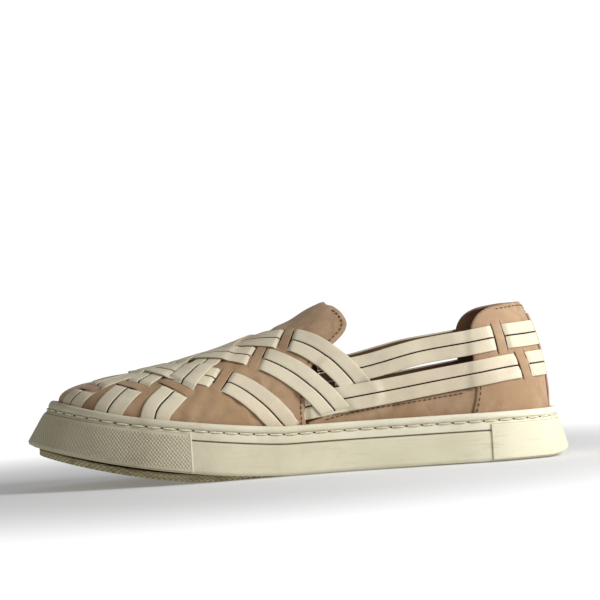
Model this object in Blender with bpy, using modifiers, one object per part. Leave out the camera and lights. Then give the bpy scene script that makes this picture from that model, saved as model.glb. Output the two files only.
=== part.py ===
"""Woven slip-on sneaker, right shoe, standing on its sole. Metres, +X to the toe, +Y inner side, +Z up."""

import math

import bmesh
import bpy
import numpy as np

# Main sizes
LENGTH = 0.282
BALL_WIDTH = 0.1015
CLEARANCE = 0.0003

# Sole sizes
RIM_HEIGHT = 0.0257
TOE_RIM_RISE = 0.0205
LIP_CLEAR = 0.0004
TOE_LIP_RISE = 0.023
TREAD_SPRING = 0.0195
HEEL_TREAD_RISE = 0.002
ARCH_RISE = 0.0012
OUTSOLE_THICKNESS = 0.0036
OUTSOLE_INSET = 0.005
BAND_HEIGHT = 0.0094
BAND_THICKNESS = 0.0043
BEAD_PROUD = 0.0007
BEAD_HEIGHT = 0.0032
STITCH_DROP = 0.0043
STITCH_CHANNEL = 0.0005
GROOVE_DEPTH = 0.0015
GROOVE_WIDTH = 0.0026
GROOVE_PITCH = 0.0085
GROOVE_SLANT = math.radians(12)
TREAD_EDGE = 0.001
LIP_ROUND = 0.0022
LIP_CORNER = 0.3
PARTING_ROUND = 0.0007

# Bumper panel sizes
BUMPER_PROUD = 0.0007
BUMPER_DEPTH = 0.0013
BUMPER_DROP = 0.0057
BUMPER_LIFT = 0.0006
BUMPER_BEVEL = 0.0005

# Upper sizes
WALL = 0.0018
INSTEP_HEIGHT = 0.0874
INSOLE_THICKNESS = 0.004
INSOLE_EDGE = 0.3
STRAND_WIDTH = 0.0076
SIDE_STRAND_WIDTH = 0.0063
STRAND_SLIT = 0.0006
STRAND_DEPTH = 0.0009
STRAND_PROUD = 0.0009
WEAVE_SHARE = 0.17
DEPTH_STEP = 0.00006
BRIDGE_WIDTH = 0.005
BACK_STRIP_WIDTH = 0.019

# Places along the sole, as shares of LENGTH
ARCH_BACK_SHARE = 0.30
ARCH_FRONT_SHARE = 0.58
LIP_SPRING_SHARE = 0.53
TREAD_SPRING_SHARE = 0.67
HEEL_RISE_SHARE = 0.95
TREAD_BACK_SHARE = 0.03
TREAD_FRONT_SHARE = 0.97
WAIST_SHIFT_SHARE = 0.03
TOE_LEAN_SHARE = 0.80
HEEL_LEAN_SHARE = 0.12

# How sharply the toe and the heel curve up
LIP_POWER = 1.64
RIM_POWER = 1.3
TREAD_POWER = 1.5
HEEL_POWER = 2.0
LEAN_POWER = 1.5

# How far the wall leans inwards at the toe and the heel, as a slope
TOE_LEAN_SLOPE = 0.62
HEEL_LEAN_SLOPE = 0.25

# Bumper panels: end (1 toe, 0 heel), reach along the inner and the outer side
BUMPERS = (
    ("toe_bumper", 1, 0.316, 0.304),
    ("heel_bumper", 0, 0.199, 0.196),
)

# Sampling: stations along each side, and steps from rim to ridge
SIDE_STATIONS = 28
WALL_STEPS = 7
BUMPER_STATIONS = 24
RIBBON_STEP = 0.010
FLAT_ANGLE = 1.0

# Sole outline, inner side, heel to toe: share of LENGTH, share of BALL_WIDTH
INNER_OUTLINE = (
    (0.000, 0.000),
    (0.030, 0.225),
    (0.120, 0.348),
    (0.270, 0.338),
    (0.420, 0.318),
    (0.560, 0.380),
    (0.700, 0.468),
    (0.800, 0.466),
    (0.900, 0.392),
    (0.965, 0.262),
    (1.000, 0.060),
)

# Sole outline, outer side, heel to toe: share of LENGTH, share of BALL_WIDTH
OUTER_OUTLINE = (
    (0.000, 0.000),
    (0.030, -0.225),
    (0.120, -0.352),
    (0.270, -0.378),
    (0.420, -0.418),
    (0.550, -0.490),
    (0.650, -0.532),
    (0.760, -0.505),
    (0.870, -0.392),
    (0.950, -0.220),
    (1.000, 0.060),
)

# Ridge of the last, back to front: share along the side, share of LENGTH of the ridge
# point, ridge height as a share of INSTEP_HEIGHT, fullness of the section
LAST_SECTIONS = (
    (0.00, 0.285, 1.270, 2.25),
    (0.10, 0.290, 1.270, 2.25),
    (0.20, 0.302, 1.265, 2.25),
    (0.30, 0.334, 1.215, 2.22),
    (0.40, 0.403, 1.045, 2.10),
    (0.45, 0.454, 0.997, 2.00),
    (0.50, 0.506, 0.912, 1.95),
    (0.60, 0.607, 0.786, 1.90),
    (0.70, 0.697, 0.708, 1.98),
    (0.80, 0.770, 0.661, 2.12),
    (0.90, 0.817, 0.640, 2.20),
    (1.00, 0.848, 0.628, 2.20),
)

# Leather edge from the side, tab to back: share of LENGTH, share of INSTEP_HEIGHT
LEATHER_EDGE = (
    (0.440, 1.060),
    (0.434, 0.998),
    (0.424, 0.985),
    (0.414, 0.957),
    (0.407, 0.922),
    (0.403, 0.874),
    (0.408, 0.833),
    (0.421, 0.788),
    (0.438, 0.744),
    (0.477, 0.620),
    (0.489, 0.500),
    (0.493, 0.400),
    (0.492, 0.330),
    (0.463, 0.332),
    (0.400, 0.380),
    (0.302, 0.412),
    (0.200, 0.450),
    (0.172, 0.466),
    (0.172, 0.795),
    (0.160, 0.862),
    (0.138, 0.908),
    (0.093, 0.933),
    (0.040, 0.928),
    (-0.060, 0.925),
)

# Woven straps of the inner side, from the rim at the toe, over the ridge, to the far
# side: share along the side, share rim to ridge to far rim, lift in STRAND_PROUD
WOVEN_STRAPS = {
    "first": (
        (0.924, -0.120, 1.0),
        (0.920, 0.060, 1.0),
        (0.901, 0.362, 1.0),
        (0.867, 0.624, 0.3),
        (0.800, 1.000, 1.0),
        (0.715, 1.380, 0.6),
        (0.661, 1.500, 0.6),
        (0.612, 1.630, 1.0),
        (0.561, 1.830, 1.0),
        (0.517, 2.140, 1.0),
    ),
    "second": (
        (0.831, -0.120, 1.0),
        (0.822, 0.090, 1.0),
        (0.794, 0.410, 1.0),
        (0.765, 0.640, 0.3),
        (0.700, 1.000, 0.8),
        (0.630, 1.220, 1.7),
        (0.568, 1.420, 1.0),
        (0.513, 1.630, 1.0),
        (0.470, 1.820, 1.7),
        (0.435, 1.960, 0.4),
    ),
    "third": (
        (0.743, -0.120, 1.0),
        (0.738, 0.080, 1.0),
        (0.711, 0.330, 1.0),
        (0.690, 0.500, 0.3),
        (0.655, 0.720, 1.4),
        (0.605, 1.000, 0.6),
        (0.560, 1.180, 1.0),
        (0.500, 1.400, 1.0),
        (0.455, 1.600, 1.4),
        (0.425, 1.740, 1.7),
        (0.398, 1.870, 0.2),
    ),
}

# Straps along each side, vamp to back: share along the side, share rim to ridge, lift
SIDE_STRAPS = {
    "upper_side": (
        (0.500, 0.275, 0.1),
        (0.450, 0.265, 0.1),
        (0.397, 0.255, 0.8),
        (0.299, 0.246, 1.0),
        (0.210, 0.255, 1.0),
        (0.154, 0.266, 1.0),
        (0.083, 0.273, 0.6),
        (0.040, 0.275, 0.6),
    ),
    "lower_side": (
        (0.515, 0.100, 0.1),
        (0.480, 0.108, 0.1),
        (0.411, 0.114, 1.0),
        (0.300, 0.113, 1.0),
        (0.211, 0.130, 1.0),
        (0.128, 0.147, 1.0),
        (0.070, 0.151, 0.6),
        (0.040, 0.151, 0.6),
    ),
}

# Strip up the middle of the back: shares rim to ridge, and lift in STRAND_PROUD
BACK_STRIP_ROWS = (-0.01, 0.2, 0.39)
BACK_STRIP_LIFT = 1.6

# Leather bridges over the straps: share along the side and share rim to ridge of each
# end, and lift in STRAND_PROUD
BRIDGES = {
    "vamp_low": ((0.641, 0.310), (0.613, 0.530), 1.7),
    "vamp_mid": ((0.574, 0.470), (0.552, 0.670), 1.7),
    "vamp_top": ((0.519, 0.570), (0.501, 0.750), 1.7),
    "toe_back": ((0.737, 0.529), (0.684, 0.308), 1.4),
    "toe_middle": ((0.843, 0.640), (0.768, 0.423), 1.4),
    "toe_front": ((0.930, 0.520), (0.872, 0.430), 1.4),
    "counter_top": ((0.153, 0.340), (0.156, 0.190), 1.7),
    "counter_low": ((0.125, 0.210), (0.114, 0.090), 1.7),
}


def new_collection(name):
    collection = bpy.data.collections.new(name)
    bpy.context.scene.collection.children.link(collection)
    return collection


def hermite(keys, values, start_slope=None, end_slope=None):
    """A function of one key: a smooth curve through the rows of values."""
    keys = np.asarray(keys, float)
    values = np.asarray(values, float)
    steps = np.diff(keys)
    chords = np.diff(values, axis=0) / steps[:, None]
    slopes = np.empty_like(values)
    weight = (steps[1:] / (steps[1:] + steps[:-1]))[:, None]
    slopes[1:-1] = chords[:-1] * weight + chords[1:] * (1 - weight)
    slopes[0] = chords[0] if start_slope is None else start_slope
    slopes[-1] = chords[-1] if end_slope is None else end_slope

    def value_at(key):
        i = int(np.clip(np.searchsorted(keys, key) - 1, 0, len(steps) - 1))
        t = min(max((key - keys[i]) / steps[i], 0.0), 1.0)
        rise = values[i + 1] - values[i]
        first = steps[i] * slopes[i]
        last = steps[i] * slopes[i + 1]
        bend = first - 2 * rise + last
        return values[i] + first * t + (3 * rise - 2 * first - last) * t**2 + bend * t**3

    return value_at


def chord_shares(points):
    lengths = np.linalg.norm(np.diff(np.asarray(points, float), axis=0), axis=1)
    along = np.concatenate([[0.0], np.cumsum(lengths)])
    return along / along[-1], along[-1]


def outline_curve(rows, middle=0.0):
    """One side of the sole's outline, as a function of the share along it."""
    points = [((x - 0.5) * LENGTH, y * BALL_WIDTH - middle) for x, y in rows]
    keys, total = chord_shares(points)
    outward = math.copysign(total, rows[1][1])
    return hermite(keys, points, (0.0, outward), (0.0, -outward))


INNER, OUTER = 1, -1
SHARES = [(1 - math.cos(math.pi * i / SIDE_STATIONS)) / 2 for i in range(SIDE_STATIONS + 1)]
WIDEST_INNER = max(outline_curve(INNER_OUTLINE)(share)[1] for share in SHARES)
WIDEST_OUTER = min(outline_curve(OUTER_OUTLINE)(share)[1] for share in SHARES)
MIDDLE = (WIDEST_INNER + WIDEST_OUTER) / 2
OUTLINE = {INNER: outline_curve(INNER_OUTLINE, MIDDLE), OUTER: outline_curve(OUTER_OUTLINE, MIDDLE)}
SECTION_CURVE = hermite([row[0] for row in LAST_SECTIONS], [row[1:] for row in LAST_SECTIONS])
UPPER_INSET = BAND_THICKNESS + CLEARANCE
CUP_SHARE = 0.2
RIM_TUCK_SHARE = 0.01
SLOPE_SHARE = 1e-4


def outline_point(station, side, inset=0.0):
    """A point of the outline, moved inwards in plan by inset."""
    back = max(station - SLOPE_SHARE, 0.0)
    ahead = min(station + SLOPE_SHARE, 1.0)
    run_x, run_y = OUTLINE[side](ahead) - OUTLINE[side](back)
    if station in (0.0, 1.0):
        run_x = 0.0
    length = math.hypot(run_x, run_y)
    x, y = OUTLINE[side](station)
    return x + side * run_y / length * inset, y - side * run_x / length * inset


def rise_beyond(share, start, power):
    """0 up to the start share, and 1 at the end of the shoe."""
    return max((share - start) / (1 - start), 0.0) ** power


def length_share(x):
    return x / LENGTH + 0.5


def lip_height(x):
    share = length_share(x)
    heel_rise = HEEL_TREAD_RISE * rise_beyond(1 - share, HEEL_RISE_SHARE, HEEL_POWER)
    return LIP_CLEAR + TOE_LIP_RISE * rise_beyond(share, LIP_SPRING_SHARE, LIP_POWER) + heel_rise


def rim_height(x):
    return RIM_HEIGHT + TOE_RIM_RISE * rise_beyond(length_share(x), LIP_SPRING_SHARE, RIM_POWER)


def lean_slope(x):
    share = length_share(x)
    toe = TOE_LEAN_SLOPE * rise_beyond(share, TOE_LEAN_SHARE, LEAN_POWER)
    heel = HEEL_LEAN_SLOPE * rise_beyond(1 - share, 1 - HEEL_LEAN_SHARE, LEAN_POWER)
    return heel - toe


def leaned(x, y, z):
    """The same place once the toe and the heel lean inwards from the sole's lip up to its rim."""
    foot = lip_height(x) + LIP_ROUND
    level = min(max(z, foot), rim_height(x)) - foot
    return x + level * lean_slope(x), y, z


def tread_height(x):
    share = length_share(x)
    heel_rise = HEEL_TREAD_RISE * rise_beyond(1 - share, HEEL_RISE_SHARE, HEEL_POWER)
    arch = min(max((share - ARCH_BACK_SHARE) / (ARCH_FRONT_SHARE - ARCH_BACK_SHARE), 0.0), 1.0)
    arch_rise = ARCH_RISE * math.sin(math.pi * arch) ** 2
    spring = TREAD_SPRING * rise_beyond(share, TREAD_SPRING_SHARE, TREAD_POWER)
    return spring + heel_rise + arch_rise


def cup_floor(x):
    return rim_height(x) - BAND_HEIGHT


def section_at(station):
    """Rim points of both sides and the ridge point above them, with the fullness."""
    inner = outline_point(station, INNER, UPPER_INSET)
    outer = outline_point(station, OUTER, UPPER_INSET)
    ridge_share, height, fullness = SECTION_CURVE(station)
    ridge = ((ridge_share - 0.5) * LENGTH, (inner[1] + outer[1]) / 2, height * INSTEP_HEIGHT)
    return inner, outer, ridge, fullness


def last_point(station, across):
    """The upper's outer surface. across is 0 at the inner rim, 1 on the ridge, 2 at the
    outer rim, and below 0 or above 2 inside the sole's cup."""
    if not 0 <= station <= 1:
        station = -station if station < 0 else 2 - station
        across = 2 - across
    inner, outer, ridge, fullness = section_at(station)
    foot, share = (inner, across) if across <= 1 else (outer, 2 - across)
    rim = rim_height(foot[0])
    if share < 0:
        depth = BAND_HEIGHT - CLEARANCE - WALL * abs(lean_slope(foot[0]))
        drop = -share / CUP_SHARE * depth
        return np.array(leaned(foot[0], foot[1], rim - drop))
    angle = share * math.pi / 2
    run = 1 - math.cos(angle) ** (2 / fullness)
    rise = math.sin(angle) ** (2 / fullness)
    x = foot[0] + run * (ridge[0] - foot[0])
    y = foot[1] + run * (ridge[1] - foot[1])
    return np.array(leaned(x, y, rim + rise * (ridge[2] - rim)))


def last_frame(station, across):
    """Slopes of the last along and across, and its outward normal."""
    along = last_point(station + SLOPE_SHARE, across) - last_point(station - SLOPE_SHARE, across)
    over = last_point(station, across + SLOPE_SHARE) - last_point(station, across - SLOPE_SHARE)
    normal = np.cross(over, along)
    return along / (2 * SLOPE_SHARE), over / (2 * SLOPE_SHARE), normal / np.linalg.norm(normal)


def rim_loop():
    """Stations right round the sole: up the inner side to the toe, and back."""
    inner = [(share, INNER) for share in SHARES]
    outer = [(share, OUTER) for share in SHARES[-2:0:-1]]
    return inner + outer


def ring(inset, height):
    """A loop of points round the sole, at a height that depends on the place along it."""
    points = []
    for station, side in rim_loop():
        x, y = outline_point(station, side, inset)
        points.append(leaned(x, y, height(x)))
    return points


def mesh_object(name, mesh_data, material, collection):
    """A closed object from a bmesh, with its faces turned outwards."""
    bmesh.ops.remove_doubles(mesh_data, verts=mesh_data.verts, dist=1e-6)
    bmesh.ops.recalc_face_normals(mesh_data, faces=mesh_data.faces)
    mesh = bpy.data.meshes.new(name)
    mesh_data.to_mesh(mesh)
    mesh_data.free()
    placed = bpy.data.objects.new(name, mesh)
    collection.objects.link(placed)
    if material:
        mesh.materials.append(material)
        mesh.shade_smooth()
        mesh.set_sharp_from_angle(angle=math.radians(35))
    else:
        placed.hide_render = True
        placed.display_type = "WIRE"
    return placed


def loft_rings(rings, closed_section=False):
    """Quads between loops of points. A section that isn't closed gets flat ladder caps."""
    work = bmesh.new()
    loops = [[work.verts.new(point) for point in points] for points in rings]
    pairs = list(zip(loops, loops[1:]))
    if closed_section:
        pairs.append((loops[-1], loops[0]))
    count = len(loops[0])
    for low, high in pairs:
        for i in range(count):
            j = (i + 1) % count
            work.faces.new((low[i], low[j], high[j], high[i]))
    if not closed_section:
        for loop in (loops[0], loops[-1]):
            for i in range(SIDE_STATIONS):
                corners = [loop[i], loop[i + 1], loop[-i - 1], loop[-i]]
                if i == 0:
                    corners = [loop[0], loop[1], loop[-1]]
                if i == SIDE_STATIONS - 1:
                    corners = [loop[i], loop[i + 1], loop[i + 2]]
                work.faces.new(corners)
    return work


def add_boolean(target, other, operation):
    modifier = target.modifiers.new(operation.lower() + "_" + other.name, "BOOLEAN")
    modifier.operation = operation
    modifier.solver = "EXACT"
    if isinstance(other, bpy.types.Collection):
        modifier.operand_type = "COLLECTION"
        modifier.collection = other
    else:
        modifier.object = other


def principled(name, colour, roughness):
    material = bpy.data.materials.new(name)
    material.use_nodes = True
    shader = material.node_tree.nodes["Principled BSDF"]
    shader.inputs["Base Color"].default_value = (*colour, 1.0)
    shader.inputs["Roughness"].default_value = roughness
    shader.inputs["Metallic"].default_value = 0.0
    return material


def outsole_plate(name, grow, material, collection):
    """The tread plate. grow widens it all round, for the room that it leaves."""
    inset = OUTSOLE_INSET - grow

    def top(x):
        return tread_height(x) + OUTSOLE_THICKNESS + grow

    def bottom(x):
        return tread_height(x) - grow

    def edge(x):
        return tread_height(x) + TREAD_EDGE

    rings = [ring(inset + TREAD_EDGE, bottom), ring(inset, edge), ring(inset, top)]
    return mesh_object(name, loft_rings(rings), material, collection)


def tread_grooves(collection):
    """Slanting bars that cut the ribs of the forefoot and the heel."""
    count = int(LENGTH / GROOVE_PITCH)
    for i in range(count):
        x = -LENGTH / 2 + (i + 0.5) * GROOVE_PITCH
        share = length_share(x)
        over_waist = ARCH_BACK_SHARE < share + WAIST_SHIFT_SHARE < ARCH_FRONT_SHARE
        if over_waist or not TREAD_BACK_SHARE < share < TREAD_FRONT_SHARE:
            continue
        work = bmesh.new()
        bmesh.ops.create_cube(work, size=1.0)
        bar = mesh_object(f"groove_{i:02d}", work, None, collection)
        bar.scale = (GROOVE_WIDTH, 1.2 * BALL_WIDTH, 2 * GROOVE_DEPTH)
        slope = math.atan((tread_height(x + 1e-3) - tread_height(x - 1e-3)) / 2e-3)
        bar.rotation_euler = (0.0, -slope, GROOVE_SLANT)
        bar.location = (x, 0.0, tread_height(x))


def midsole(material, collection):
    def half_round(x):
        return lip_height(x) + LIP_CORNER * LIP_ROUND

    def above_lip(x):
        return lip_height(x) + LIP_ROUND

    def below_top(x):
        return cup_floor(x) - PARTING_ROUND

    rings = [
        ring(LIP_ROUND, lip_height),
        ring(LIP_CORNER * LIP_ROUND, half_round),
        ring(0.0, above_lip),
        ring(0.0, below_top),
        ring(PARTING_ROUND, cup_floor),
    ]
    return mesh_object("midsole", loft_rings(rings), material, collection)


def welt(material, collection):
    """The band round the upper: rounded foot, stitch channel, bead and flat ledge."""
    rows = (
        (PARTING_ROUND, BAND_HEIGHT - CLEARANCE),
        (0.0, BAND_HEIGHT - CLEARANCE - PARTING_ROUND),
        (0.0, STITCH_DROP + STITCH_CHANNEL),
        (STITCH_CHANNEL, STITCH_DROP),
        (0.0, STITCH_DROP - STITCH_CHANNEL),
        (-BEAD_PROUD, 0.7 * BEAD_HEIGHT),
        (-BEAD_PROUD, 0.3 * BEAD_HEIGHT),
        (0.2 * BEAD_HEIGHT, 0.0),
        (0.6 * BEAD_HEIGHT, 0.3 * BEAD_HEIGHT),
        (BAND_THICKNESS - 0.6 * CLEARANCE, 0.45 * BEAD_HEIGHT),
        (BAND_THICKNESS - 0.6 * CLEARANCE, BAND_HEIGHT - CLEARANCE),
    )
    rings = [ring(inset, lambda x, drop=drop: rim_height(x) - drop) for inset, drop in rows]
    return mesh_object("welt", loft_rings(rings, closed_section=True), material, collection)


def bumper(name, end, inner_share, outer_share, grow, material, collection):
    """A rubber panel round the toe (end 1) or the heel (end 0), let into the sole's side.
    The shares are its reach along the inner and outer sides."""
    stations = []
    for i in range(BUMPER_STATIONS + 1):
        t = 2 * i / BUMPER_STATIONS - 1
        reach = (inner_share if t > 0 else outer_share) + grow / LENGTH
        side = INNER if t > 0 else OUTER
        stations.append((abs(end - abs(t) * reach), side))
    rows = (
        (BUMPER_DEPTH + 1.5 * grow, "low", -grow),
        (-BUMPER_PROUD + BUMPER_BEVEL - grow, "low", -grow),
        (-BUMPER_PROUD - grow, "low", BUMPER_BEVEL),
        (-BUMPER_PROUD - grow, "high", -BUMPER_BEVEL),
        (-BUMPER_PROUD + BUMPER_BEVEL - grow, "high", grow),
        (BUMPER_DEPTH + 1.5 * grow, "high", grow),
    )
    work = bmesh.new()
    sections = []
    for station, side in stations:
        section = []
        for inset, level, shift in rows:
            x, y = outline_point(station, side, inset)
            low = lip_height(x) + BUMPER_LIFT
            base = low if level == "low" else rim_height(x) - BUMPER_DROP
            section.append(work.verts.new(leaned(x, y, base + shift)))
        sections.append(section)
    for first, second in zip(sections, sections[1:]):
        for i in range(len(rows)):
            j = (i + 1) % len(rows)
            work.faces.new((first[i], first[j], second[j], second[i]))
    work.faces.new(sections[0])
    work.faces.new(reversed(sections[-1]))
    return mesh_object(name, work, material, collection)


def insole(material, collection):
    inset = UPPER_INSET + WALL + 2 * CLEARANCE

    def bottom(x):
        return cup_floor(x) + CLEARANCE

    def edge(x):
        return cup_floor(x) + CLEARANCE + (1 - INSOLE_EDGE) * INSOLE_THICKNESS

    def top(x):
        return cup_floor(x) + CLEARANCE + INSOLE_THICKNESS

    rings = [ring(inset, bottom), ring(inset, edge), ring(inset + INSOLE_EDGE * INSOLE_THICKNESS, top)]
    return mesh_object("insole", loft_rings(rings), material, collection)


def last_shell(material, collection):
    """The whole last's skin, from inside the cup to the ridge, as an open sheet."""
    steps = [-CUP_SHARE] + [i / WALL_STEPS for i in range(WALL_STEPS + 1)]
    across = steps + [2 - step for step in reversed(steps[:-1])]
    work = bmesh.new()
    rows = []
    for station in SHARES:
        rows.append([work.verts.new(last_point(station, share)) for share in across])
    for first, second in zip(rows, rows[1:]):
        for i in range(len(across) - 1):
            work.faces.new((first[i], second[i], second[i + 1], first[i + 1]))
    upper = mesh_object("upper", work, material, collection)
    if max(upper.data.polygons, key=lambda face: face.center.z).normal.z < 0:
        upper.data.flip_normals()
    return upper


def keep_main_body(target):
    """Applies the modifiers, and deletes the flat specks that the cuts leave in the wall."""
    bpy.context.view_layer.update()
    graph = bpy.context.evaluated_depsgraph_get()
    mesh = bpy.data.meshes.new_from_object(target.evaluated_get(graph))
    work = bmesh.new()
    work.from_mesh(mesh)
    bmesh.ops.triangulate(work, faces=work.faces)
    waiting = set(work.faces)
    pieces = []
    while waiting:
        piece = [waiting.pop()]
        for face in piece:
            near = {other for edge in face.edges for other in edge.link_faces} & waiting
            waiting -= near
            piece.extend(near)
        pieces.append(piece)
    pieces.sort(key=len)
    specks = [face for piece in pieces[:-1] for face in piece]
    bmesh.ops.delete(work, geom=specks, context="FACES")
    work.to_mesh(mesh)
    work.free()
    target.modifiers.clear()
    target.data = mesh


def side_prism(name, points, collection):
    """A bar through the shoe from side to side, with its outline in side view."""
    work = bmesh.new()
    near = []
    far = []
    for share, height in points:
        x, z = (share - 0.5) * LENGTH, height * INSTEP_HEIGHT
        near.append(work.verts.new((x, BALL_WIDTH, z)))
        far.append(work.verts.new((x, -BALL_WIDTH, z)))
    for i in range(len(points)):
        j = (i + 1) % len(points)
        work.faces.new((near[i], near[j], far[j], far[i]))
    work.faces.new(near)
    work.faces.new(list(reversed(far)))
    return mesh_object(name, work, None, collection)


# Sections of a strip: share of its width, and level. A pair of strands has a notch.
PAIR_PROFILE = (
    (-0.5, "low"),
    (-0.5, "high"),
    (-0.04, "high"),
    (0.0, "notch"),
    (0.04, "high"),
    (0.5, "high"),
    (0.5, "low"),
    (0.0, "low"),
)
PLAIN_PROFILE = ((-0.5, "low"), (-0.5, "high"), (0.5, "high"), (0.5, "low"))
WIDE_PROFILE = (
    (-0.5, "low"),
    (-0.5, "high"),
    (-0.2, "high"),
    (0.2, "high"),
    (0.5, "high"),
    (0.5, "low"),
    (0.2, "low"),
    (-0.2, "low"),
)


def ribbon(name, rows, profile, width, depth, collection):
    """A strip of even width on the last's skin. Its rows are places on the last and lifts,
    and depth is how far it is let into the wall."""
    places = [last_point(*row[:2]) for row in rows]
    keys, length = chord_shares(places)
    path = hermite(keys, rows)
    count = max(int(length / RIBBON_STEP), 3)
    work = bmesh.new()
    sections = []
    for i in range(count + 1):
        share = i / count
        station, across, lift = path(share)
        ahead = last_point(*path(min(share + 0.01, 1.0))[:2])
        back = last_point(*path(max(share - 0.01, 0.0))[:2])
        along, over, normal = last_frame(station, across)
        sideways = np.cross(normal, ahead - back)
        sideways /= np.linalg.norm(sideways)
        slopes = np.column_stack((along, over))
        shift = np.linalg.lstsq(slopes, sideways, rcond=None)[0]
        heights = {"low": -depth, "high": lift * STRAND_PROUD, "notch": -depth / 3}
        section = []
        for edge, level in profile:
            reach = edge * width
            sunk = np.clip(across + shift[1] * reach, -RIM_TUCK_SHARE, 2 + RIM_TUCK_SHARE)
            place = (station + shift[0] * reach, sunk)
            out = last_frame(*place)[2]
            section.append(work.verts.new(last_point(*place) + out * heights[level]))
        sections.append(section)
    for first, second in zip(sections, sections[1:]):
        for i in range(len(profile)):
            j = (i + 1) % len(profile)
            work.faces.new((first[i], first[j], second[j], second[i]))
    work.faces.new(sections[0])
    work.faces.new(reversed(sections[-1]))
    return mesh_object(name, work, None, collection)


def mirrored(rows, side):
    """The same rows, measured from the rim of this side. Inner straps lie a little higher."""
    placed = []
    for station, across, lift in rows:
        across = across if side == INNER else 2 - across
        placed.append((station, across, lift + side * WEAVE_SHARE))
    return placed


def strap_ribbons(collection):
    """Every strap, as a joined pair of strands, and every leather bridge over them."""
    for side, side_name in ((INNER, "inner"), (OUTER, "outer")):
        depth = STRAND_DEPTH + side * DEPTH_STEP
        groups = (
            (WOVEN_STRAPS, STRAND_WIDTH, depth),
            (SIDE_STRAPS, SIDE_STRAND_WIDTH, depth - 3 * DEPTH_STEP),
        )
        for group, strand_width, let_in in groups:
            pair_width = 2 * strand_width + STRAND_SLIT
            for name, rows in group.items():
                strap = mirrored(rows, side)
                ribbon(f"{name}_{side_name}", strap, PAIR_PROFILE, pair_width, let_in, collection)
        for name, (start, end, lift) in BRIDGES.items():
            rows = mirrored(((*start, lift), (*end, lift)), side)
            let_in = depth - 5 * DEPTH_STEP
            ribbon(f"{name}_{side_name}", rows, PLAIN_PROFILE, BRIDGE_WIDTH, let_in, collection)
    back = [(0.0, across, BACK_STRIP_LIFT) for across in BACK_STRIP_ROWS]
    let_in = STRAND_DEPTH + 4 * DEPTH_STEP
    ribbon("back_strip", back, WIDE_PROFILE, BACK_STRIP_WIDTH, let_in, collection)


def main():
    for old in list(bpy.data.objects):
        bpy.data.objects.remove(old, do_unlink=True)
    shoe = new_collection("woven_slip_on_sneaker")
    cutters = new_collection("cutters")
    cutters.hide_render = True
    grooves = new_collection("tread_grooves")
    grooves.hide_render = True
    straps = new_collection("straps")
    straps.hide_render = True

    rubber = principled("sole_rubber", (0.74, 0.69, 0.54), 0.6)
    band = principled("welt_rubber", (0.78, 0.74, 0.60), 0.55)
    tread = principled("tread_rubber", (0.70, 0.64, 0.49), 0.7)
    panel = principled("panel_rubber", (0.72, 0.67, 0.53), 0.65)
    leather = principled("tan_leather", (0.47, 0.30, 0.19), 0.75)
    lining = principled("insole_lining", (0.40, 0.26, 0.17), 0.8)

    base = midsole(rubber, shoe)
    band_ring = welt(band, shoe)
    plate = outsole_plate("outsole", 0.0, tread, shoe)
    room = outsole_plate("outsole_room", CLEARANCE, None, cutters)
    tread_grooves(grooves)
    add_boolean(plate, grooves, "DIFFERENCE")
    add_boolean(base, room, "DIFFERENCE")
    for name, end, inner_share, outer_share in BUMPERS:
        bumper(name, end, inner_share, outer_share, 0.0, panel, shoe)
        pocket = bumper(name + "_room", end, inner_share, outer_share, CLEARANCE, None, cutters)
        add_boolean(base, pocket, "DIFFERENCE")
        add_boolean(band_ring, pocket, "DIFFERENCE")
    insole(lining, shoe)

    upper = last_shell(leather, shoe)
    shell = upper.modifiers.new("wall", "SOLIDIFY")
    shell.thickness = WALL
    shell.offset = -1.0
    shell.use_even_offset = True
    sky = ((-0.06, 1.6), (0.433, 1.6))
    collar = side_prism("collar_opening", LEATHER_EDGE + sky, cutters)
    add_boolean(upper, collar, "DIFFERENCE")
    strap_ribbons(straps)
    add_boolean(upper, straps, "UNION")
    flat = upper.modifiers.new("join_flat_faces", "DECIMATE")
    flat.decimate_type = "DISSOLVE"
    flat.angle_limit = math.radians(FLAT_ANGLE)
    keep_main_body(upper)


main()
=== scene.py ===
import math

import bpy
import numpy as np
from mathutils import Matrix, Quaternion, Vector


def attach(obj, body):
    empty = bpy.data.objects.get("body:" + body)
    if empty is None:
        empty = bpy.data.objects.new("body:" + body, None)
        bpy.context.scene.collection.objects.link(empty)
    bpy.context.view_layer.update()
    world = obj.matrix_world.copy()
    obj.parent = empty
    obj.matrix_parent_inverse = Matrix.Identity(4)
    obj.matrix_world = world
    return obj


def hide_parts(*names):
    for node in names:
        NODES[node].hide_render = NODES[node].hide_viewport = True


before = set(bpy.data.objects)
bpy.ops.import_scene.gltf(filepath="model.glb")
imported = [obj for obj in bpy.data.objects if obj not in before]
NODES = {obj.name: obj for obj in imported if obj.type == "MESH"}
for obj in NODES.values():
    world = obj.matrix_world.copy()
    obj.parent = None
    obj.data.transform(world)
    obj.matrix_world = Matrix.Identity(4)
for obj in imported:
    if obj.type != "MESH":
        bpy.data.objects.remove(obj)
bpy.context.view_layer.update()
MM = 0.001

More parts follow.
